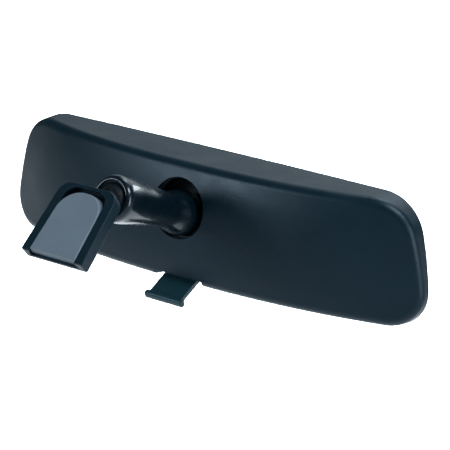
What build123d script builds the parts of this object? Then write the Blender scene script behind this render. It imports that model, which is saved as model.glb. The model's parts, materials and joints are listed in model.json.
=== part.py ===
from build123d import *

import math
import os

# Interior rearview mirror on a two-ball arm, day position.
# Millimetres, +Z up. The glass faces -Y (cabin), the arm leaves towards +Y (windscreen), and X runs
# along the glass. The origin is the centre of the button's bonded face.

# ---- driving dimensions ----
WINDSCREEN_RAKE = 46.5  # degrees of the bonded face above the horizontal
FOOT_BALL = (0.0, -36.5, 5.4)  # centre of the foot's ball
ARM_LENGTH = 55.0  # ball centre to ball centre
ARM_DROP = 17.2  # degrees that the arm falls towards the mirror
CASE_FROM_BALL = (0.0, -33.8, -1.6)  # from the mirror's ball to the middle of the bezel's front plane

BUTTON_LENGTH = 35.0
BUTTON_THICK = 5.0
BUTTON_HALF_BOTTOM = 13.7
BUTTON_HALF_TOP = 12.3
BUTTON_BEVEL = 1.3  # how much wider each side is at the cabin face
BUTTON_ROUND = 11.6  # corner radius of the button's round end
FOOT_SIDE = 5.1  # width of the foot's flange beside the button
FOOT_BELOW = 19.0  # from the origin down to the foot's open end
FOOT_ABOVE = 22.0
FOOT_THICK = 8.2
FOOT_ROUND = 7.0
FOOT_PROUD = 0.5  # how far the button stands out of the flanges
SLIP = 0.08  # gap between the button and the channel's sides
FLOOR_GAP = 0.3  # gap between the button and the channel's floor
CHANNEL_ABOVE = 2.4  # how far the channel runs past the button's round end
SET_SCREW_R = 2.5
SET_SCREW_LENGTH = 6.0
SET_SCREW_POSITION = -4.0  # up the foot from the origin
BOSS_ROOT_Y = -9.5
BOSS_LENGTH = 13.5
BOSS_END_R = 5.8

BALL_R = 8.0
NECK_R = 3.5
NECK_LENGTH = 13.0  # from the ball's centre
SHANK_R = 3.0
FOOT_SHANK = 6.0
MIRROR_SHANK = 6.4
LINER_WALL = 1.15
LINER_MOUTH = 47.0  # half-angle of the liner's opening round the neck
LINER_END = 52.0  # half-angle of its open far end
RUNNING = 0.08  # radial gap of a running fit
SEAT_R = BALL_R + LINER_WALL + 2 * RUNNING
SEAT_MOUTH = 58.0  # half-angle of the ring seat's opening
TUBE_NEAR_R = 12.0
TUBE_MID_R = 10.7
TUBE_NECK_R = 9.4
TUBE_NECK_AT = 41.0  # along the arm from the foot's ball
TUBE_FAR_R = 11.8
BORE_R = 10.4
BORE_STRAIGHT = 4.0  # how far past each ball centre the full bore runs
WAIST_BORE_R = 8.3
CUP_TAIL_R = 8.1
LIP_REACH = 6.3  # the rolled lip's face beyond each ball centre
LIP_HOLE_R = 8.6
LIP_THICK = 1.1
CUP_DEPTH = 10.5
CUP_HOLE_R = 2.6
SPRING_R = 6.4
SPRING_WIRE_R = 0.8
SPRING_TURNS = 7

HALF_LENGTH = 128.0
CASE_TOP = 30.0
CASE_BOTTOM = -38.0
TOP_CORNER_X = 119.0
BOTTOM_CORNER_X = 132.6
SIDE_SWELL = 3.0
EDGE_BOW = 0.8  # how far the long edges swell between the corners
CORNER_R_TOP = 25.0
CORNER_R_BOTTOM = 18.5
DRAFT = 4.5  # degrees that the shell's sides draw in towards the back
WALL = 2.2
END_DEPTH = 7.5  # depth of the back at the crease, at the ends
MID_DEPTH = 31.0  # and at the middle
CROWN = 4.6  # how far the back swells between its creases
BACK_ROUND = 5.0
BEZEL_DEPTH = 6.0
BEZEL_FLANGE = 1.6
BEZEL_LAP = 4.6  # from the outline to the glass opening
TONGUE_THICK = 0.7
TONGUE_END_Y = 8.2
TONGUE_REACH = 92.0  # half-length of the snap tongues
RIB_X = (-96, -58, 58, 96)  # where the shell's ribs back up the glass
RIB_FRONT_Y = 9.2
RIB_LOW_Z = -29.0
RIB_HIGH_Z = 21.0
GLASS_INSET = 3.8
GLASS_TOP_THICK = 5.0
GLASS_BOTTOM_THICK = 2.6
BACKING_THICK = 0.25
CUSHION_HALF = 2.0

WELL = (0.0, 4.0)  # x and z of the round well in the back
WELL_R = 16.1
WELL_STEP_R = 15.3
WELL_STEP_Y = 31.0
WELL_WALL = 1.8
WELL_FLOOR_Y = 27.0
NOTCH_HALF = 15.5
NOTCH_TOP = -32.6
NOTCH_FRONT_Y = 15.6

HINGE = (16.0, 22.3)  # y and z of the case hinge
HINGE_PIN_R = 1.5
HINGE_PIN_HALF = 26.0
LEVER_AXIS = (19.0, -29.5)  # y and z of the lever's pin
LEVER_PIN_R = 1.25
LEVER_PIN_HALF = 20.0
PIN_PLAY = 0.06  # radial gap of a pin in the part that turns on it
PIN_SEAT = 0.01  # and in the part that holds it
EAR_HALF = 4.5  # half-height of the shell's ears round both pins
HINGE_EAR_X = (21.6, 25.2)
LEVER_EAR_X = (16.4, 19.4)
CRANK = 4.1  # crank pin's radius about the lever's axis
CRANK_START = 30.0  # degrees before top centre, at rest
CRANK_PIN_R = 2.0
FORK_GAP = 0.35
TAB_ANGLE = 30.5  # degrees below the horizontal, towards the windscreen
TAB_REACH = 26.5
TAB_HALF = 10.2
TAB_THICK = 2.4
BAR_HALF = 12.0
HUB_R = 3.4
HUB_X = (6.3, 15.9)
LEAF_GAP = 0.1  # between the detent leaf and the lever's hub
LEAF_THICK = 0.45
LEAF_X = (11.4, 15.4)
LEAF_Y = (14.5, 31.5)
LEAF_SCREW = (13.4, 29.2)  # x and y of the leaf's screw
LEAF_SCREW_R = 1.0


def down_range(x):
    """Share of the way to the end of the case, from 0 at the middle to 1."""
    return min(abs(x) / HALF_LENGTH, 1.06)


def crease_depth(x):
    """Depth of the back's crease at x."""
    return END_DEPTH + (MID_DEPTH - END_DEPTH) * (1 - down_range(x) ** 2.48)


def crown_height(x):
    return 0.6 + CROWN * max(0.0, 1 - down_range(x) ** 2)


# ---- placing ----
rake = math.radians(WINDSCREEN_RAKE)
drop = math.radians(ARM_DROP)
FOOT_NORMAL = (0.0, math.sin(rake), math.cos(rake))
FOOT_PLANE = Plane(origin=(0, 0, 0), x_dir=(-1, 0, 0), z_dir=FOOT_NORMAL)
foot_ball = Vector(*FOOT_BALL)
arm_direction = Vector(0, -math.cos(drop), -math.sin(drop))
mirror_ball = foot_ball + arm_direction * ARM_LENGTH
case_datum = mirror_ball + Vector(*CASE_FROM_BALL)
ARM_PLANE = Plane(origin=foot_ball, x_dir=(1, 0, 0), z_dir=arm_direction)
FAR_PLANE = Plane(origin=mirror_ball, x_dir=(1, 0, 0), z_dir=-arm_direction)
CASE = Location(case_datum)


def write(shape, node, place=None):
    """Moves a shape into the row frame and writes its STEP file."""
    placed = place * shape if place is not None else shape
    export_step(placed, f"parts/{node}.step")


def along_x(radius, x0, x1, y, z):
    """A cylinder parallel to X."""
    return Plane.YZ.offset(x0) * Pos(y, z) * extrude(Circle(radius), x1 - x0)


def along_y(radius, y0, y1, x, z):
    """A cylinder parallel to Y."""
    middle = (y0 + y1) / 2
    return Pos(x, middle, z) * Rot(90, 0, 0) * Cylinder(radius, abs(y1 - y0))


def block(x0, x1, y0, y1, z0, z1):
    centre = ((x0 + x1) / 2, (y0 + y1) / 2, (z0 + z1) / 2)
    return Pos(*centre) * Box(x1 - x0, y1 - y0, z1 - z0)


# ---- windscreen side ----
def button_half(along):
    """Half-width of the button's bonded face at a distance up from its middle."""
    share_up = 0.5 + along / BUTTON_LENGTH
    return BUTTON_HALF_BOTTOM + (BUTTON_HALF_TOP - BUTTON_HALF_BOTTOM) * share_up


def tombstone(grow, below, above, round_r):
    """The button's outline grown sideways: tapered sides, wide end down, round end up."""
    low_half = button_half(-below) + grow
    high_half = button_half(above) + grow
    shape = make_face(
        Polyline(
            (-low_half, -below),
            (low_half, -below),
            (high_half, above),
            (-high_half, above),
            close=True,
        )
    )
    top = shape.vertices().sort_by(Axis.Y)[-2:]
    return fillet(top, round_r)


def button_solid(grow=0.0, extra_above=0.0, extra_below=0.0, round_r=BUTTON_ROUND):
    """The wedge-sided button, or the room that it needs."""
    below = BUTTON_LENGTH / 2 + extra_below
    above = BUTTON_LENGTH / 2 + extra_above + grow
    face = tombstone(grow, below, above, round_r)
    back = tombstone(grow + BUTTON_BEVEL, below, above + BUTTON_BEVEL, round_r)
    return loft([Pos(0, 0, -BUTTON_THICK) * back, face])


def windscreen_button():
    button = button_solid()
    rim = button.faces().sort_by(Axis.Z)[-1].edges()
    return chamfer(rim, 0.4)


def foot_plate():
    """The foot's flat part in the button's frame, with the channel and the set screw's boss."""
    outline = tombstone(FOOT_SIDE, FOOT_BELOW, FOOT_ABOVE, FOOT_ROUND)
    outline = fillet(outline.vertices().sort_by(Axis.Y)[:2], 1.2)
    plate = Pos(0, 0, -FOOT_THICK) * extrude(outline, FOOT_THICK - FOOT_PROUD)
    plate = fillet(plate.faces().sort_by(Axis.Z)[0].edges(), 1.6)
    plate = fillet(plate.faces().sort_by(Axis.Z)[-1].edges(), 0.5)
    room = button_solid(SLIP, CHANNEL_ABOVE, FOOT_BELOW - BUTTON_LENGTH / 2 + 4, FOOT_ROUND)
    floor_outline = tombstone(BUTTON_BEVEL, FOOT_BELOW + 4, BUTTON_LENGTH / 2 + 2, FOOT_ROUND)
    floor = Pos(0, 0, -BUTTON_THICK - FLOOR_GAP) * extrude(floor_outline, FLOOR_GAP + 0.1)
    screw_boss = Pos(0, SET_SCREW_POSITION, -FOOT_THICK - 2.6) * extrude(Circle(5.2), 3.4)
    screw_boss = fillet(screw_boss.faces().sort_by(Axis.Z)[0].edges(), 0.8)
    screw_hole = Pos(0, SET_SCREW_POSITION, -FOOT_THICK - 4) * extrude(Circle(SET_SCREW_R), 8)
    return plate + screw_boss - room - floor - screw_hole


def mount_foot():
    """Channel that slides down over the button, with a horizontal boss for the ball stud."""
    _, ball_y, ball_z = FOOT_BALL
    root = Plane(origin=(0, BOSS_ROOT_Y, ball_z), x_dir=(1, 0, 0), z_dir=(0, -1, 0)).location
    boss = root * loft([Ellipse(10.5, 8.0).face(), Pos(0, 0, BOSS_LENGTH) * Circle(BOSS_END_R)])
    windscreen_side = Box(90, 90, 50, align=(Align.CENTER, Align.CENTER, Align.MIN))
    boss = boss - FOOT_PLANE.location * Pos(0, 0, -BUTTON_THICK - FLOOR_GAP) * windscreen_side
    shank_end = ball_y + NECK_LENGTH + FOOT_SHANK
    bore = along_y(SHANK_R, ball_y, shank_end + 0.1, 0, ball_z)
    return FOOT_PLANE.location * foot_plate() + boss - bore


def foot_set_screw():
    """Socket grub screw that bears on the button's cabin face."""
    outer_end = -BUTTON_THICK - 0.02 - SET_SCREW_LENGTH
    screw = Pos(0, SET_SCREW_POSITION, outer_end) * extrude(Circle(SET_SCREW_R), SET_SCREW_LENGTH)
    screw = chamfer(screw.edges(), 0.4)
    return screw - Pos(0, SET_SCREW_POSITION, outer_end) * extrude(RegularPolygon(1.4, 6), 2.6)


def ball_stud(shank_length):
    """Ball at the origin, neck and shank towards +Z."""
    stud = Sphere(BALL_R)
    stud += extrude(Circle(NECK_R), NECK_LENGTH)
    return stud + Pos(0, 0, NECK_LENGTH) * extrude(Circle(SHANK_R), shank_length)


def opening_cone(half_angle, length=20.0):
    """A cone from the origin along +Z, to cut a ball seat's mouth."""
    end_r = length * math.tan(math.radians(half_angle))
    return Cone(0.01, end_r, length, align=(Align.CENTER, Align.CENTER, Align.MIN))


def ball_liner(place):
    """Nylon liner round a ball, open round the neck on +Z."""
    outer_r = BALL_R + RUNNING + LINER_WALL
    shell = Sphere(outer_r) - Sphere(BALL_R + RUNNING)
    cut = -outer_r * math.cos(math.radians(LINER_END))
    far_end = Pos(0, 0, cut) * Box(40, 40, 20, align=(Align.CENTER, Align.CENTER, Align.MAX))
    return place * (shell - opening_cone(LINER_MOUTH) - far_end)


# ---- arm ----
def bore_profile():
    """The tube's inner line from its far lip to its near one, as (radius, height) points."""
    one_end = [
        (LIP_HOLE_R + 0.7, -LIP_REACH),
        (LIP_HOLE_R, -LIP_REACH + 0.6),
        (LIP_HOLE_R, -LIP_REACH + LIP_THICK),
        (BORE_R, -LIP_REACH + LIP_THICK),
        (BORE_R, BORE_STRAIGHT),
        (WAIST_BORE_R, CUP_DEPTH + 1.0),
    ]
    far_end = [(r, 0, ARM_LENGTH - h) for r, h in one_end]
    near_end = [(r, 0, h) for r, h in reversed(one_end)]
    return Polyline(*far_end, *near_end)


def arm_tube():
    """Tube swollen over both balls, necked before the far one, with its ends rolled in."""
    near = -LIP_REACH
    far = ARM_LENGTH + LIP_REACH
    side = Spline(
        (TUBE_NEAR_R, 0, near + 4.0),
        (TUBE_NEAR_R - 0.2, 0, 5.0),
        (TUBE_MID_R, 0, ARM_LENGTH / 3),
        (TUBE_NECK_R, 0, TUBE_NECK_AT),
        (TUBE_FAR_R - 0.4, 0, ARM_LENGTH - BORE_STRAIGHT),
        (TUBE_FAR_R, 0, far - 4.0),
        tangents=[(0, 0, 1), (0, 0, 1)],
    )
    near_roll = ThreePointArc(
        (LIP_HOLE_R + 0.7, 0, near), (TUBE_NEAR_R - 0.9, 0, near + 1.0), side @ 0
    )
    far_roll = ThreePointArc(
        side @ 1, (TUBE_FAR_R - 0.9, 0, far - 1.0), (LIP_HOLE_R + 0.7, 0, far)
    )
    wall = make_face([side, near_roll, far_roll, bore_profile()])
    return ARM_PLANE.location * revolve(wall, Axis.Z)


def seat_ring(plane):
    """Ring behind the rolled lip, with a spherical seat round the ball at the plane's origin."""
    ring = Pos(0, 0, -LIP_REACH + LIP_THICK + 0.05) * extrude(
        Circle(BORE_R - RUNNING), LIP_REACH - LIP_THICK - 0.35
    )
    mouth = Rot(180, 0, 0) * opening_cone(SEAT_MOUTH)
    return plane.location * (ring - Sphere(SEAT_R) - mouth)


def ball_cup(plane):
    """Sliding inner seat that the spring presses on the liner, round the plane's origin."""
    cup = Pos(0, 0, 0.3) * extrude(Circle(BORE_R - RUNNING), BORE_STRAIGHT - 0.4)
    shoulder = Pos(0, 0, BORE_STRAIGHT - 0.1) * Circle(BORE_R - RUNNING - 0.25)
    cup += loft([shoulder, Pos(0, 0, CUP_DEPTH) * Circle(CUP_TAIL_R)])
    cup += Pos(0, 0, CUP_DEPTH) * extrude(Circle(SPRING_R - SPRING_WIRE_R - 0.3), 2.0)
    return plane.location * (cup - Sphere(SEAT_R) - extrude(Circle(CUP_HOLE_R), 30))


def arm_spring():
    """Compression spring between the two cups."""
    length = ARM_LENGTH - 2 * CUP_DEPTH - 2 * SPRING_WIRE_R - 0.2
    path = Helix(length / SPRING_TURNS, length, SPRING_R)
    wire = Plane(origin=path @ 0, z_dir=path % 0) * Circle(SPRING_WIRE_R)
    coil = sweep(wire, path)
    return ARM_PLANE.location * Pos(0, 0, CUP_DEPTH + SPRING_WIRE_R + 0.1) * coil


# ---- case ----
def case_outline(inset=0.0):
    """Front outline of the case: long edges slightly bowed, and wider at the bottom."""
    top, bottom = CASE_TOP - inset, CASE_BOTTOM + inset
    xt, xb = TOP_CORNER_X - inset, BOTTOM_CORNER_X - inset
    bow = EDGE_BOW
    mid_x = (xt + xb) / 2 + SIDE_SWELL
    mid_z = (top + bottom) / 2
    outline = make_face(
        [
            ThreePointArc((-xt, top - bow), (0, top), (xt, top - bow)),
            ThreePointArc((xt, top - bow), (mid_x, mid_z), (xb, bottom + bow)),
            ThreePointArc((xb, bottom + bow), (0, bottom), (-xb, bottom + bow)),
            ThreePointArc((-xb, bottom + bow), (-mid_x, mid_z), (-xt, top - bow)),
        ]
    )
    upper = outline.vertices().sort_by(Axis.Y)[-2:]
    outline = fillet(upper, CORNER_R_TOP - inset)
    lower = [v for v in outline.vertices() if v.Y < mid_z and abs(v.X) > xb - 3]
    return fillet(lower, CORNER_R_BOTTOM - inset)


def draft_inset(y):
    """How far the sides have drawn in at a depth y."""
    return y * math.tan(math.radians(DRAFT))


def drafted_prism(inset, length=44.0):
    """The case outline carried past the back, drawing in on the way."""
    plane = Plane(origin=(0, 0, 0), x_dir=(-1, 0, 0), z_dir=(0, 1, 0))
    far_end = Pos(0, 0, length) * case_outline(inset + draft_inset(length))
    return plane.location * loft([case_outline(inset), far_end], ruled=True)


def outline_prism(inset, y0, y1):
    """The case outline, extruded from y0 to y1."""
    plane = Plane(origin=(0, y0, 0), x_dir=(-1, 0, 0), z_dir=(0, 1, 0))
    return plane.location * extrude(case_outline(inset), y1 - y0)


def back_section(x, inset):
    """Section of the case at x: flat in front, crowned behind, and taller than the case."""
    high, low = CASE_TOP + 12, CASE_BOTTOM - 12
    depth = crease_depth(x) - inset
    crown = crown_height(x)
    middle = (CASE_TOP + CASE_BOTTOM) / 2
    half = (CASE_TOP - CASE_BOTTOM) / 2
    spill = crown * ((high - middle) / half) ** 2 - crown
    plane = Plane(origin=(x, 0, 0), x_dir=(0, 1, 0), z_dir=(1, 0, 0))
    return plane.location * make_face(
        [
            ThreePointArc((depth - spill, high), (depth + crown, middle), (depth - spill, low)),
            Polyline((depth - spill, low), (-30, low), (-30, high), (depth - spill, high)),
        ]
    )


def case_solid(inset=0.0):
    """The whole outer form of the case, or the same form inset by a wall."""
    stations = [-137, -123, -100, -70, -35, 0, 35, 70, 100, 123, 137]
    body = loft([back_section(x, inset) for x in stations])
    return body & drafted_prism(inset)


def outer_case():
    """Outer form with its back edge rounded."""
    solid = case_solid()
    back_edges = [
        e
        for e in solid.edges()
        if e.center().Y > END_DEPTH - 2 and e.bounding_box().min.Y > 3 and e.length > 8
    ]
    return fillet(back_edges, BACK_ROUND)


def both_sides(x_range):
    """A range of x and its mirror image, each low end first."""
    near, far = x_range
    return [(near, far), (-far, -near)]


def shell_additions(outer):
    """What stands inside the rear shell: well wall, ears for both pins, the leaf's boss, ribs."""
    top_y, top_z = HINGE
    low_y, low_z = LEVER_AXIS
    pieces = [along_y(WELL_R + WELL_WALL, WELL_FLOOR_Y, 45, *WELL)]
    for x0, x1 in both_sides(HINGE_EAR_X):
        pieces.append(block(x0, x1, top_y - EAR_HALF, top_y + EAR_HALF, top_z - EAR_HALF, 40))
    for x0, x1 in both_sides(LEVER_EAR_X):
        pieces.append(block(x0, x1, low_y - EAR_HALF, low_y + EAR_HALF, -50, low_z + EAR_HALF))
    boss_low = low_z - 1.6
    boss_high = low_z + HUB_R + LEAF_GAP
    pieces.append(block(LEAF_X[0] - 0.2, LEVER_EAR_X[1], 26.6, 50, boss_low, boss_high))
    for x in RIB_X:
        pieces.append(block(x - 0.9, x + 0.9, RIB_FRONT_Y, 50, RIB_LOW_Z, RIB_HIGH_Z))
    return [piece & outer for piece in pieces]


def rear_shell(outer):
    """Rear casing with the round well and the lever's notch."""
    shell = outer - case_solid(WALL)
    for addition in shell_additions(outer):
        shell = shell + addition
    shell = shell - along_y(WELL_R, WELL_STEP_Y, 60, *WELL) - along_y(WELL_STEP_R, 10, 60, *WELL)
    shell = shell - block(-NOTCH_HALF, NOTCH_HALF, NOTCH_FRONT_Y, 60, -60, NOTCH_TOP)
    shell = shell - outline_prism(-5, -5, BEZEL_DEPTH)
    shell = shell - along_x(HINGE_PIN_R, -30, 30, *HINGE)
    shell = shell - along_x(LEVER_PIN_R, -30, 30, *LEVER_AXIS)
    screw_hole = Pos(*LEAF_SCREW, LEVER_AXIS[1]) * extrude(Circle(LEAF_SCREW_R), 5)
    return shell - screw_hole


def bezel(outer):
    """Front ring: a flange over the glass edge, a wall round it and snap tongues behind."""
    ring = outer & block(-200, 200, 0, BEZEL_DEPTH, -60, 60)
    ring = fillet(ring.faces().sort_by(Axis.Y)[0].edges(), 1.5)
    ring = ring - outline_prism(BEZEL_LAP, -1, BEZEL_DEPTH + 1)
    ring = ring - outline_prism(WALL, BEZEL_FLANGE, BEZEL_DEPTH + 1)
    tongue_inset = WALL + draft_inset(TONGUE_END_Y) + 0.06
    tongue = outline_prism(WALL - 0.3, BEZEL_DEPTH - 1.5, BEZEL_DEPTH)
    tongue = tongue + outline_prism(tongue_inset, BEZEL_DEPTH - 1.5, TONGUE_END_Y)
    tongue = tongue - outline_prism(tongue_inset + TONGUE_THICK, 0, 30)
    tongue = tongue & block(-TONGUE_REACH, TONGUE_REACH, 0, 20, -60, 60)
    for x in RIB_X:
        tongue = tongue - block(x - 2, x + 2, BEZEL_DEPTH, 30, -60, 60)
    return ring + tongue


def wedge_back(offset=0.0):
    """Space behind the glass's sloped rear face."""
    top = CASE_TOP + 5
    low = CASE_BOTTOM - 5
    slope = (GLASS_TOP_THICK - GLASS_BOTTOM_THICK) / (CASE_TOP - CASE_BOTTOM)
    front = BEZEL_FLANGE + 0.05 + offset
    y_top = front + GLASS_BOTTOM_THICK + slope * (top - CASE_BOTTOM)
    y_low = front + GLASS_BOTTOM_THICK + slope * (low - CASE_BOTTOM)
    plane = Plane(origin=(-200, 0, 0), x_dir=(0, 1, 0), z_dir=(1, 0, 0))
    outline = make_face(Polyline((y_low, low), (60, low), (60, top), (y_top, top), close=True))
    return plane.location * extrude(outline, 400)


def mirror_glass():
    """Prismatic wedge, thicker at the top."""
    return outline_prism(GLASS_INSET, BEZEL_FLANGE + 0.05, 12) - wedge_back()


def silver_backing():
    blank = outline_prism(GLASS_INSET + 0.6, BEZEL_FLANGE + 0.05, 12)
    return (blank & wedge_back(0.01)) - wedge_back(BACKING_THICK)


def glass_cushions():
    """Foam strips between the shell's ribs and the film."""
    strips = []
    for x in RIB_X:
        low, high = RIB_LOW_Z + 2, RIB_HIGH_Z - 2
        strips.append(block(x - CUSHION_HALF, x + CUSHION_HALF, 0, RIB_FRONT_Y - 0.05, low, high))
    cushions = [strip & wedge_back(BACKING_THICK + 0.05) for strip in strips]
    return Compound(children=[c.solids()[0] for c in cushions])


def crank_position():
    """y and z of the lever's crank pin, at rest."""
    low_y, low_z = LEVER_AXIS
    angle = math.radians(CRANK_START)
    return low_y - CRANK * math.sin(angle), low_z + CRANK * math.cos(angle)


def pivot_bracket():
    """Moulded plate between the ball stud, the case hinge and the lever's crank."""
    _, top_z = HINGE
    _, low_z = LEVER_AXIS
    crank_y, crank_z = crank_position()
    ball_z = -CASE_FROM_BALL[2]
    plate = block(-20.8, 20.8, 16.6, 19.6, -20, top_z + 1)
    plate = fillet(plate.edges().filter_by(Axis.Y).group_by(Axis.Z)[0], 7.0)
    plate += along_y(8.0, 16.0, 20.8, 0, ball_z)
    for x0, x1 in both_sides((12.0, 21.1)):
        plate += along_x(3.6, x0, x1, *HINGE)
    for x0, x1 in both_sides((9.0, 11.0)):
        plate += block(x0, x1, 13.6, 17.0, -19, 17)
    plate = plate - block(-11.8, 11.8, 0, 40, top_z - 5, 40)
    gap = CRANK_PIN_R + FORK_GAP
    plate += block(-5.6, 5.6, crank_y - gap - 1.7, crank_y + gap + 1.7, low_z + 2.1, -17.5)
    plate = plate - block(-10, 10, crank_y - gap, crank_y + gap, -60, crank_z + 3.6)
    plate = plate - along_x(HINGE_PIN_R + PIN_PLAY, -40, 40, *HINGE)
    return plate - along_y(SHANK_R, 0, 40, 0, ball_z)


def stud_push_nut():
    """Domed push-on washer on the stud's cabin end."""
    ball_z = -CASE_FROM_BALL[2]
    washer = along_y(6.0, 14.9, 15.95, 0, ball_z)
    washer = chamfer(washer.edges().sort_by(Axis.Y)[0], 0.5)
    return washer - along_y(SHANK_R + 0.02, 0, 40, 0, ball_z)


def case_hinge_pin():
    return along_x(HINGE_PIN_R - PIN_SEAT, -HINGE_PIN_HALF, HINGE_PIN_HALF, *HINGE)


def lever_pin():
    return along_x(LEVER_PIN_R - PIN_SEAT, -LEVER_PIN_HALF, LEVER_PIN_HALF, *LEVER_AXIS)


def lever_tab():
    """Tab in its own frame: the pin's axis at the origin, reaching out along +Z."""
    half_thick = TAB_THICK / 2
    tab = block(-TAB_HALF, TAB_HALF, -half_thick, half_thick, 0, TAB_REACH)
    tab = tab - block(-HUB_X[0], HUB_X[0], -5, 5, -5, 5.5)
    bar = Pos(0, 0, TAB_REACH) * Box(2 * BAR_HALF, 4.4, 3.4)
    bar = fillet(bar.edges().filter_by(Axis.X), 1.5)
    ends = bar.faces().sort_by(Axis.X)
    return tab + fillet(ends[0].edges() + ends[-1].edges(), 0.9)


def day_night_lever():
    """Tab, hubs, crank webs and crank pin."""
    y, z = LEVER_AXIS
    crank_y, crank_z = crank_position()
    lever = Pos(0, y, z) * Rot(-90 - TAB_ANGLE, 0, 0) * lever_tab()
    for x0, x1 in both_sides(HUB_X):
        lever += along_x(HUB_R, x0, x1, y, z)
    for x0, x1 in both_sides((HUB_X[0], 8.6)):
        lever += along_x(CRANK_PIN_R + 0.5, x0, x1, crank_y, crank_z)
        web = Pos((x0 + x1) / 2, (y + crank_y) / 2, (z + crank_z) / 2)
        lever += web * Rot(CRANK_START, 0, 0) * Box(x1 - x0, 4.6, CRANK)
    lever += along_x(CRANK_PIN_R, -7, 7, crank_y, crank_z)
    return lever - along_x(LEVER_PIN_R + PIN_PLAY, -40, 40, y, z)


def leaf_level():
    """Height of the detent leaf's underside."""
    return LEVER_AXIS[1] + HUB_R + LEAF_GAP


def detent_spring():
    """Leaf fixed to the shell's boss, with its free end turned up over the lever's hub."""
    level = leaf_level()
    leaf = block(*LEAF_X, *LEAF_Y, level, level + LEAF_THICK)
    turned_up = block(*LEAF_X, -2.5, 0.2, -LEAF_THICK, 0)
    leaf += Pos(0, LEAF_Y[0], level + LEAF_THICK) * Rot(-35, 0, 0) * turned_up
    return leaf - Pos(*LEAF_SCREW, level - 1) * extrude(Circle(LEAF_SCREW_R + 0.05), 5)


def detent_screw():
    """Pan-head screw through the leaf into the shell's boss."""
    under_head = leaf_level() + LEAF_THICK
    head = Pos(*LEAF_SCREW, under_head) * extrude(Circle(1.9), 1.1)
    head = fillet(head.edges().sort_by(Axis.Z)[-1], 0.4)
    shank = Pos(*LEAF_SCREW, under_head - 3.2) * extrude(Circle(LEAF_SCREW_R - PIN_SEAT), 3.2)
    return head + shank


def main():
    os.makedirs("parts", exist_ok=True)
    foot_stud = Plane(origin=foot_ball, x_dir=(1, 0, 0), z_dir=(0, 1, 0)).location
    mirror_stud = Plane(origin=mirror_ball, x_dir=(1, 0, 0), z_dir=(0, -1, 0)).location

    write(windscreen_button(), "windscreen_button", FOOT_PLANE.location)
    write(mount_foot(), "mount_foot")
    write(foot_set_screw(), "foot_set_screw", FOOT_PLANE.location)
    write(ball_stud(FOOT_SHANK), "foot_ball_stud", foot_stud)
    write(ball_liner(foot_stud), "foot_ball_liner")

    write(arm_tube(), "arm_tube")
    write(seat_ring(ARM_PLANE), "foot_seat_ring")
    write(ball_cup(ARM_PLANE), "foot_ball_cup")
    write(arm_spring(), "arm_spring")
    write(seat_ring(FAR_PLANE), "mirror_seat_ring")
    write(ball_cup(FAR_PLANE), "mirror_ball_cup")
    write(ball_liner(mirror_stud), "mirror_ball_liner")

    write(ball_stud(MIRROR_SHANK), "mirror_ball_stud", mirror_stud)
    write(pivot_bracket(), "pivot_bracket", CASE)
    write(stud_push_nut(), "stud_push_nut", CASE)

    outer = outer_case()
    write(rear_shell(outer), "rear_shell", CASE)
    write(bezel(outer), "bezel", CASE)
    write(mirror_glass(), "mirror_glass", CASE)
    write(silver_backing(), "silver_backing", CASE)
    write(glass_cushions(), "glass_cushions", CASE)
    write(case_hinge_pin(), "case_hinge_pin", CASE)
    write(lever_pin(), "lever_pin", CASE)
    write(detent_spring(), "detent_spring", CASE)
    write(detent_screw(), "detent_screw", CASE)
    write(day_night_lever(), "day_night_lever", CASE)


if __name__ == "__main__":
    main()
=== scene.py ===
import json
import math

import bmesh
import bpy
from mathutils import Matrix, Vector


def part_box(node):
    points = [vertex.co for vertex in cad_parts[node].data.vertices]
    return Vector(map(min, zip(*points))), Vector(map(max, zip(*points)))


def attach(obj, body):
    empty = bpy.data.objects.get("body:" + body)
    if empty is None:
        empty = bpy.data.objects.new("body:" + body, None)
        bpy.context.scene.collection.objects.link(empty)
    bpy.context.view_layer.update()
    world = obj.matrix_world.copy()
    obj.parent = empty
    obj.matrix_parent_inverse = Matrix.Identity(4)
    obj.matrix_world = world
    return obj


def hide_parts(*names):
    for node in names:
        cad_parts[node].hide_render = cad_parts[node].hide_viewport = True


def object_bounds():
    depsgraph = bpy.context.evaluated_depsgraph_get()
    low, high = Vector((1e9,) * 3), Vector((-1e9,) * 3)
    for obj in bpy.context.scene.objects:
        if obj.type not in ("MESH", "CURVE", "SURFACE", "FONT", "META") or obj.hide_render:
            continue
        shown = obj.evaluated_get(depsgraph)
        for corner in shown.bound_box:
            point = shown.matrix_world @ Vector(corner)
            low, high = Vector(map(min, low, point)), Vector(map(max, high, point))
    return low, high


# An interior rearview mirror seen from behind, in metres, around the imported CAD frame.

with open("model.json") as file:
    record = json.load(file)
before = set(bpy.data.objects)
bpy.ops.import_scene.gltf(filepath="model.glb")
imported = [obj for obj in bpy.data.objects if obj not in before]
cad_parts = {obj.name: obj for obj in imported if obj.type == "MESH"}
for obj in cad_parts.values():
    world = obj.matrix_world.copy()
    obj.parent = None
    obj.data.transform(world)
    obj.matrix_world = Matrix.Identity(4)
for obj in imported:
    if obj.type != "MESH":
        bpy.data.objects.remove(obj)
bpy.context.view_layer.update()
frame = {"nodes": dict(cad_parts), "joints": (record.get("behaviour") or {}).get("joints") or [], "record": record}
nodes = frame["nodes"]

# ---- the camera, which looks at the back of the case ----
CASE_BELOW = 0.038  # from the case datum down to the bezel's lowest edge
CAMERA_TURN = math.radians(34.81)  # from straight behind (+Y), towards -X
CAMERA_RISE = math.radians(15.2)
CAMERA_ROLL = math.radians(4.06)  # lifts the camera's right side
CAMERA_DISTANCE = 1.14693  # from the case datum
CAMERA_LENS = 175.2  # millimetres
CAMERA_SHIFT = (0.0160, -0.0479)  # in picture widths

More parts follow.
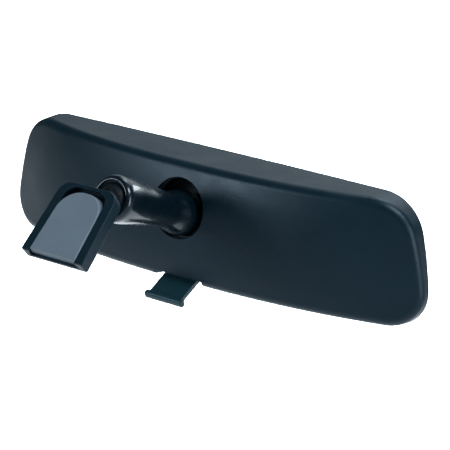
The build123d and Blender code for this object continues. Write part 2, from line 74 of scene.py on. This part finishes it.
# ---- the floor and the world ----
FLOOR_DROP = 0.32  # the floor lies this far under the object
FLOOR_RADIUS = 6.0
FLOOR_SIDES = 96
FLOOR_GLOW = 0.25  # emission, so that the floor isn't dark where the lamps miss it
WORLD_SEEN = (0.97, 0.98, 0.98)  # what the camera sees beyond the floor
WORLD_SEEN_STRENGTH = 1.0
WORLD_LIT = (0.6, 0.8, 1.0)  # the world's own light on the object and the floor
WORLD_LIT_STRENGTH = 0.1

# ---- the lamps ----
LAMP_COLOUR = (0.88, 0.96, 1.0)
LAMP_AIM = (0, -0.07, 0)  # about the middle of the object
FLOOR_WASH_AT = (0.72, -1.65)  # the floor behind the object, as the camera sees it
FLOOR_WASH_HEIGHT = 2.0

# ---- the arm's tube: radii and distances along it ----
TUBE_NEAR_R = 0.012
TUBE_NEAR_EASE = 0.0002  # how much slimmer the tube already is just past the foot's ball
TUBE_NEAR_EASE_AT = 0.005  # from the foot's ball
TUBE_MID_R = 0.0107  # a third of the way along
TUBE_NECK_R = 0.0094
TUBE_NECK_AT = 0.041  # from the foot's ball
TUBE_FAR_R = 0.0118
TUBE_FAR_EASE = 0.0004  # how much slimmer the tube still is just before the mirror's ball
TUBE_FAR_EASE_AT = 0.004  # from the mirror's ball
TUBE_ROLL = 0.004  # how far along the tube each end rolls in
TUBE_LIP_REACH = 0.0063  # past each ball's centre
TUBE_LIP_THICK = 0.0011
TUBE_LIP_HOLE_R = 0.0086
TUBE_LIP_ROUND = 0.0006
TUBE_BORE_R = 0.0104
TUBE_BORE_REACH = 0.004  # the wide bore's end, inwards from each ball
TUBE_WAIST_BORE_R = 0.0083
TUBE_WAIST_REACH = 0.0115  # the narrow bore's end, inwards from each ball
TUBE_SEGMENTS = 128
SIDE_STEPS = 10
ROLL_STEPS = 8

# ---- colours of the black surfaces ----
INK = (0.0016, 0.014, 0.023)  # the case's plastic and the foot's paint
LEVER_INK = (0.009, 0.038, 0.05)
SHEEN = (0.66, 0.82, 1.0)  # tint of the reflections in them
WORN = (0.03, 0.05, 0.065)  # where edges have rubbed pale

# ---- how edges are found ----
BEVEL_SAMPLES = 6
OPEN_FACE_AT = 0.99  # above this dot of the bevelled and the true normals there is no edge


# ---- node helpers ----
class Surface:
    """A material whose nodes are added one by one."""

    def __init__(self, name, colour, roughness, metallic=0.0):
        self.material = bpy.data.materials.new(name)
        self.material.use_nodes = True
        self.tree = self.material.node_tree
        self.shader = self.tree.nodes["Principled BSDF"]
        self.set("Base Color", (*colour, 1.0))
        self.set("Roughness", roughness)
        self.set("Metallic", metallic)
        self.place = self.add("ShaderNodeTexCoord").outputs["Object"]
        self.normal = None

    def add(self, kind, **settings):
        """A new node of this kind with these properties."""
        node = self.tree.nodes.new(kind)
        for key, value in settings.items():
            setattr(node, key, value)
        return node

    def set(self, socket, value):
        """Sets one of the shader's inputs to a fixed value."""
        self.shader.inputs[socket].default_value = value

    def link(self, source, target):
        """Joins an output socket to an input socket."""
        self.tree.links.new(source, target)

    def noise(self, scale, detail=4.0, rough=0.55, stretch=None):
        """Noise from 0 to 1 at a scale in cells per metre."""
        node = self.add("ShaderNodeTexNoise")
        node.inputs["Scale"].default_value = scale
        node.inputs["Detail"].default_value = detail
        node.inputs["Roughness"].default_value = rough
        source = self.place
        if stretch is not None:
            mapping = self.add("ShaderNodeMapping")
            mapping.inputs["Scale"].default_value = stretch
            self.link(self.place, mapping.inputs["Vector"])
            source = mapping.outputs["Vector"]
        self.link(source, node.inputs["Vector"])
        return node.outputs["Fac"]

    def cells(self, scale):
        """Distance to the nearest of many scattered points, smoothed where cells meet."""
        node = self.add("ShaderNodeTexVoronoi", feature="SMOOTH_F1")
        node.inputs["Scale"].default_value = scale
        self.link(self.place, node.inputs["Vector"])
        return node.outputs["Distance"]

    def ramp(self, source, low, high, low_at=0.0, high_at=1.0):
        """Maps a factor to a range of numbers."""
        node = self.add("ShaderNodeMapRange")
        node.inputs["From Min"].default_value = low_at
        node.inputs["From Max"].default_value = high_at
        node.inputs["To Min"].default_value = low
        node.inputs["To Max"].default_value = high
        self.link(source, node.inputs["Value"])
        return node.outputs["Result"]

    def maths(self, operation, a, b):
        """A maths operation on two values, each a number or a socket."""
        node = self.add("ShaderNodeMath", operation=operation)
        for socket, value in zip(node.inputs, (a, b)):
            if isinstance(value, (int, float)):
                socket.default_value = value
            else:
                self.link(value, socket)
        return node.outputs["Value"]

    def mix(self, factor, a, b):
        """Mixes two colours, each a tuple or a socket."""
        node = self.add("ShaderNodeMix", data_type="RGBA")
        # The node repeats its sockets for each data type: the colour ones are 6 and 7 in, 2 out.
        self.link(factor, node.inputs[0])
        for socket, value in ((node.inputs[6], a), (node.inputs[7], b)):
            if isinstance(value, tuple):
                socket.default_value = (*value, 1.0)
            else:
                self.link(value, socket)
        return node.outputs[2]

    def bump(self, height, distance, strength=1.0):
        """Adds a bump of that real height over any before it."""
        node = self.add("ShaderNodeBump")
        node.inputs["Distance"].default_value = distance
        node.inputs["Strength"].default_value = strength
        self.link(height, node.inputs["Height"])
        if self.normal is not None:
            self.link(self.normal, node.inputs["Normal"])
        self.normal = node.outputs["Normal"]
        self.link(self.normal, self.shader.inputs["Normal"])

    def edges(self, radius, sharp_at):
        """1 along sharp edges, convex or concave, and 0 on open faces."""
        bevel = self.add("ShaderNodeBevel", samples=BEVEL_SAMPLES)
        bevel.inputs["Radius"].default_value = radius
        geometry = self.add("ShaderNodeNewGeometry")
        dot = self.add("ShaderNodeVectorMath", operation="DOT_PRODUCT")
        self.link(bevel.outputs["Normal"], dot.inputs[0])
        self.link(geometry.outputs["Normal"], dot.inputs[1])
        return self.ramp(dot.outputs["Value"], 1.0, 0.0, sharp_at, OPEN_FACE_AT)

    def mottle(self, first, second, scale):
        """Varies the base colour between two shades."""
        self.link(self.mix(self.noise(scale), first, second), self.shader.inputs["Base Color"])

    def wear(self, colour, radius, sharp_at, scale):
        """Rubs the base colour pale in patches along the sharp edges."""
        worn = self.maths("MULTIPLY", self.edges(radius, sharp_at), self.noise(scale))
        self.link(self.mix(worn, colour, WORN), self.shader.inputs["Base Color"])

    def uneven_gloss(self, scale, low, high, low_at=0.3, high_at=0.7):
        """Varies the roughness between two values."""
        rough = self.ramp(self.noise(scale), low, high, low_at, high_at)
        self.link(rough, self.shader.inputs["Roughness"])


def case_plastic():
    """Blue-black moulded plastic with a fine pebble grain."""
    s = Surface("case_plastic", INK, 0.4)
    s.set("Specular Tint", (*SHEEN, 1.0))
    s.mottle(tuple(0.8 * c for c in INK), tuple(1.2 * c for c in INK), 28.0)
    s.bump(s.cells(1700.0), 0.00006, 0.6)
    s.bump(s.noise(3200.0, 2.0), 0.00003, 0.5)
    s.uneven_gloss(55.0, 0.34, 0.44)
    return s.material


def lever_plastic():
    """The lever's plastic, a little paler than the case and rubbed along its edges."""
    s = Surface("lever_plastic", LEVER_INK, 0.4)
    s.set("Specular Tint", (*SHEEN, 1.0))
    s.bump(s.noise(700.0), 0.00004, 0.5)
    s.wear(LEVER_INK, 0.0008, 0.75, 240.0)
    s.uneven_gloss(90.0, 0.34, 0.48)
    return s.material


def black_tube():
    """Gloss black enamel on the arm's tube."""
    s = Surface("black_tube", (0.001, 0.007, 0.012), 0.22)
    s.set("Specular Tint", (*SHEEN, 1.0))
    s.set("Coat Weight", 0.5)
    s.set("Coat Roughness", 0.1)
    s.mottle((0.001, 0.005, 0.009), (0.002, 0.009, 0.015), 90.0)
    s.bump(s.noise(420.0, 3.0), 0.00002, 0.3)
    s.uneven_gloss(120.0, 0.18, 0.3)
    return s.material


def black_casting():
    """Satin black paint on the cast foot, thin along its edges."""
    s = Surface("black_casting", INK, 0.42)
    s.set("Specular Tint", (*SHEEN, 1.0))
    s.bump(s.noise(900.0, 3.0), 0.00006, 0.5)
    s.wear(INK, 0.0006, 0.7, 300.0)
    s.uneven_gloss(150.0, 0.36, 0.5)
    return s.material


def button_metal():
    """Dull grey sintered face of the windscreen button."""
    s = Surface("button_metal", (0.17, 0.22, 0.27), 0.55)
    s.mottle((0.15, 0.19, 0.24), (0.2, 0.255, 0.31), 70.0)
    s.bump(s.noise(1500.0, 5.0, 0.65), 0.00006, 0.5)
    s.uneven_gloss(200.0, 0.45, 0.62)
    return s.material


def steel(name, colour, roughness):
    """Steel with fine drawing marks and a little oxide."""
    s = Surface(name, colour, roughness, 1.0)
    dark = tuple(0.55 * c for c in colour)
    s.mottle(colour, dark, 320.0)
    s.bump(s.noise(1400.0, 2.0, 0.5, (1.0, 0.08, 1.0)), 0.00002, 0.5)
    s.uneven_gloss(260.0, roughness * 0.8, roughness * 1.3)
    return s.material


def nylon(name, colour):
    """Smooth moulded plastic of the inner pieces, with a trace of light inside it."""
    s = Surface(name, colour, 0.5)
    s.set("Specular IOR Level", 0.25)
    dark = tuple(0.8 * c for c in colour)
    s.mottle(colour, dark, 150.0)
    s.set("Subsurface Weight", 0.1)
    s.set("Subsurface Scale", 0.001)
    s.bump(s.noise(800.0), 0.00003, 0.4)
    s.uneven_gloss(200.0, 0.42, 0.6)
    return s.material


def clear_glass():
    """The mirror's glass, with faint patches of haze."""
    s = Surface("clear_glass", (0.95, 0.98, 0.97), 0.0)
    s.set("Transmission Weight", 1.0)
    s.set("IOR", 1.52)
    s.uneven_gloss(60.0, 0.0, 0.02, 0.4, 0.8)
    return s.material


def silver_film():
    """The reflecting layer behind the glass."""
    s = Surface("silver_film", (0.9, 0.91, 0.91), 0.03, 1.0)
    s.uneven_gloss(40.0, 0.02, 0.05, 0.3, 0.8)
    return s.material


def foam():
    """Black open-celled foam of the cushions."""
    s = Surface("foam", (0.03, 0.03, 0.03), 0.9)
    s.mottle((0.02, 0.02, 0.02), (0.05, 0.05, 0.05), 900.0)
    s.bump(s.cells(1200.0), 0.0002, 0.8)
    return s.material


MATERIALS = {
    "button_metal": button_metal(),
    "black_casting": black_casting(),
    "dark_steel": steel("dark_steel", (0.02, 0.026, 0.032), 0.45),
    "ball_steel": steel("ball_steel", (0.2, 0.23, 0.26), 0.3),
    "nylon": nylon("nylon", (0.004, 0.012, 0.018)),
    "black_tube": black_tube(),
    "nylon_dark": nylon("nylon_dark", (0.006, 0.016, 0.022)),
    "spring_steel": steel("spring_steel", (0.45, 0.46, 0.48), 0.28),
    "inner_plastic": nylon("inner_plastic", (0.006, 0.02, 0.03)),
    "case_plastic": case_plastic(),
    "clear_glass": clear_glass(),
    "silver_film": silver_film(),
    "foam": foam(),
    "lever_plastic": lever_plastic(),
}


def finish_nodes():
    """Gives each CAD node its slot's procedural material."""
    for subpart in frame["record"]["subparts"]:
        material = MATERIALS[subpart["material_slot"]]
        for slot in nodes[subpart["node"]].material_slots:
            slot.material = material


# ---- the arm's tube ----
def joint_named(name):
    """The frame's joint of that name."""
    return next(joint for joint in frame["joints"] if joint["name"] == name)


def smooth_line(points, steps):
    """Points along a curve through the given ones, level at both ends (cubic Hermite pieces)."""
    neighbours = zip(points, points[2:])
    inner = [(after[0] - before[0]) / (after[1] - before[1]) for before, after in neighbours]
    slopes = [0.0, *inner, 0.0]
    line = []
    for (r0, h0), (r1, h1), slope0, slope1 in zip(points, points[1:], slopes, slopes[1:]):
        span = h1 - h0
        for step in range(steps):
            t = step / steps
            start = (1 + 2 * t) * (1 - t) ** 2
            finish = t * t * (3 - 2 * t)
            lean = span * (t * (1 - t) ** 2 * slope0 - t * t * (1 - t) * slope1)
            line.append((start * r0 + finish * r1 + lean, h0 + t * span))
    return line + [points[-1]]


def turned(name, outline, segments):
    """A closed ring-shaped mesh: an outline of (radius, height) points turned round the Z axis."""
    form = bmesh.new()
    rings = []
    for step in range(segments):
        angle = math.tau * step / segments
        around = (math.cos(angle), math.sin(angle))
        rings.append([form.verts.new((r * around[0], r * around[1], h)) for r, h in outline])
    for ring, beside in zip(rings, rings[1:] + rings[:1]):
        for place in range(len(outline)):
            after = (place + 1) % len(outline)
            form.faces.new((ring[place], beside[place], beside[after], ring[after]))
    bmesh.ops.recalc_face_normals(form, faces=form.faces)
    mesh = bpy.data.meshes.new(name)
    form.to_mesh(mesh)
    form.free()
    mesh.shade_smooth()
    piece = bpy.data.objects.new(name, mesh)
    bpy.context.scene.collection.objects.link(piece)
    return piece


def rolled_end(radius, end, inward):
    """Outline of one rolled-in end, from the tube's side round to the hole in the lip."""
    depth = radius - TUBE_LIP_HOLE_R - TUBE_LIP_ROUND
    line = []
    for step in range(1, ROLL_STEPS + 1):
        angle = math.radians(90) * step / ROLL_STEPS
        reach = radius - depth * (1 - math.cos(angle))
        line.append((reach, end + inward * TUBE_ROLL * (1 - math.sin(angle))))
    return line + [(TUBE_LIP_HOLE_R, end + inward * TUBE_LIP_ROUND)]


def arm_tube():
    """The arm's enamelled tube, turned in one smooth wall between the two balls."""
    foot_ball = Vector(joint_named("foot_tilt")["pos_m"])
    mirror_ball = Vector(joint_named("mirror_tilt")["pos_m"])
    arm = mirror_ball - foot_ball
    length = arm.length
    near, far = -TUBE_LIP_REACH, length + TUBE_LIP_REACH
    side = smooth_line(
        [
            (TUBE_NEAR_R, near + TUBE_ROLL),
            (TUBE_NEAR_R - TUBE_NEAR_EASE, TUBE_NEAR_EASE_AT),
            (TUBE_MID_R, length / 3),
            (TUBE_NECK_R, TUBE_NECK_AT),
            (TUBE_FAR_R - TUBE_FAR_EASE, length - TUBE_FAR_EASE_AT),
            (TUBE_FAR_R, far - TUBE_ROLL),
        ],
        SIDE_STEPS,
    )
    far_roll = rolled_end(TUBE_FAR_R, far, -1)
    near_roll = rolled_end(TUBE_NEAR_R, near, 1)
    bore = [
        (TUBE_LIP_HOLE_R, far - TUBE_LIP_THICK),
        (TUBE_BORE_R, far - TUBE_LIP_THICK),
        (TUBE_BORE_R, length - TUBE_BORE_REACH),
        (TUBE_WAIST_BORE_R, length - TUBE_WAIST_REACH),
        (TUBE_WAIST_BORE_R, TUBE_WAIST_REACH),
        (TUBE_BORE_R, TUBE_BORE_REACH),
        (TUBE_BORE_R, near + TUBE_LIP_THICK),
        (TUBE_LIP_HOLE_R, near + TUBE_LIP_THICK),
    ]
    tube = turned("arm_tube_turned", side + far_roll + bore + near_roll[::-1], TUBE_SEGMENTS)
    along_arm = arm.to_track_quat("Z", "Y").to_matrix().to_4x4()
    tube.matrix_world = Matrix.Translation(foot_ball) @ along_arm
    tube.data.materials.append(MATERIALS["black_tube"])
    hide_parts("arm_tube")
    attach(tube, "arm")


# ---- camera, floor and lights ----
def case_datum():
    """The point on the bezel's front that the camera is placed from."""
    low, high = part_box("bezel")
    return Vector(((low.x + high.x) / 2, low.y, low.z + CASE_BELOW))


def add_camera():
    """A long lens that looks down on the back of the case from one side."""
    turn, rise, lean = CAMERA_TURN, CAMERA_RISE, CAMERA_ROLL
    back = Vector((-math.sin(turn) * math.cos(rise), math.cos(turn) * math.cos(rise), math.sin(rise)))
    level = Vector((-math.cos(turn), -math.sin(turn), 0.0))
    upward = back.cross(level)
    right = level * math.cos(lean) + upward * math.sin(lean)
    up = upward * math.cos(lean) - level * math.sin(lean)
    camera = bpy.data.objects.new("camera", bpy.data.cameras.new("camera"))
    bpy.context.scene.collection.objects.link(camera)
    axes = Matrix((right, up, back)).transposed()
    camera.matrix_world = Matrix.Translation(case_datum() + back * CAMERA_DISTANCE) @ axes.to_4x4()
    camera.data.lens = CAMERA_LENS
    camera.data.shift_x, camera.data.shift_y = CAMERA_SHIFT
    bpy.context.scene.camera = camera


def add_floor():
    """A wide pale disc that glows faintly."""
    mesh = bpy.data.meshes.new("floor")
    form = bmesh.new()
    bmesh.ops.create_circle(form, cap_ends=True, radius=FLOOR_RADIUS, segments=FLOOR_SIDES)
    form.to_mesh(mesh)
    form.free()
    floor = bpy.data.objects.new("floor", mesh)
    floor.location = (0, 0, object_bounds()[0][2] - FLOOR_DROP)
    bpy.context.scene.collection.objects.link(floor)
    s = Surface("floor", (0.9, 0.9, 0.9), 0.7)
    s.set("Emission Color", (0.95, 0.98, 1.0, 1.0))
    s.set("Emission Strength", FLOOR_GLOW)
    s.mottle((0.89, 0.9, 0.9), (0.91, 0.91, 0.91), 3.0)
    mesh.materials.append(s.material)


def add_softbox(name, place, aim, size, watts, spread):
    """A rectangular lamp whose light fans out by the spread, in degrees."""
    light = bpy.data.lights.new(name, "AREA")
    light.shape = "RECTANGLE"
    light.size, light.size_y = size
    light.energy = watts
    light.color = LAMP_COLOUR
    light.spread = math.radians(spread)
    lamp = bpy.data.objects.new(name, light)
    lamp.location = place
    direction = Vector(aim) - Vector(place)
    lamp.rotation_euler = direction.to_track_quat("-Z", "Y").to_euler()
    bpy.context.scene.collection.objects.link(lamp)


def add_world():
    """Two plain surrounds: a near-white one that the camera sees, a dim bluish one that gives light."""
    world = bpy.data.worlds.new("studio")
    bpy.context.scene.world = world
    world.use_nodes = True
    tree = world.node_tree
    seen = tree.nodes.new("ShaderNodeBackground")
    seen.inputs["Color"].default_value = (*WORLD_SEEN, 1.0)
    seen.inputs["Strength"].default_value = WORLD_SEEN_STRENGTH
    lit = tree.nodes["Background"]
    lit.inputs["Color"].default_value = (*WORLD_LIT, 1.0)
    lit.inputs["Strength"].default_value = WORLD_LIT_STRENGTH
    path = tree.nodes.new("ShaderNodeLightPath")
    both = tree.nodes.new("ShaderNodeMixShader")
    tree.links.new(path.outputs["Is Camera Ray"], both.inputs[0])
    tree.links.new(lit.outputs[0], both.inputs[1])
    tree.links.new(seen.outputs[0], both.inputs[2])
    tree.links.new(both.outputs[0], tree.nodes["World Output"].inputs["Surface"])


def add_lights():
    """Soft lamps round the object, a thin one for the arm's highlight, and one on the floor behind."""
    # Each has a name, place, aim, size, watts and spread in degrees.
    aim = LAMP_AIM
    wash_x, wash_y = FLOOR_WASH_AT
    add_softbox("overhead", (0.1, -0.95, 1.15), aim, (1.1, 0.7), 0.55, 50)
    add_softbox("key", (0.90, 1.5, 0.40), aim, (0.8, 0.35), 0.95, 50)
    add_softbox("side", (-1.5, 0.15, 0.15), aim, (0.5, 1.0), 1.0, 60)
    add_softbox("low_side", (-1.0, -1.05, -0.1), aim, (0.5, 0.4), 0.06, 60)
    add_softbox("crown", (-0.75, 0.08, 0.95), aim, (0.5, 0.4), 0.8, 60)
    add_softbox("backdrop", (0.3, -1.5, 0.75), aim, (2.4, 0.9), 1.4, 90)
    add_softbox("arm_line", (-0.25, -1.35, 0.42), aim, (0.6, 0.12), 0.2, 60)
    above_floor, on_floor = (wash_x, wash_y, FLOOR_WASH_HEIGHT), (wash_x, wash_y, 0)
    add_softbox("floor_wash", above_floor, on_floor, (1.9, 1.9), 62, 50)


finish_nodes()
arm_tube()
add_camera()
add_floor()
add_world()
add_lights()
bpy.context.scene.view_settings.view_transform = "Standard"
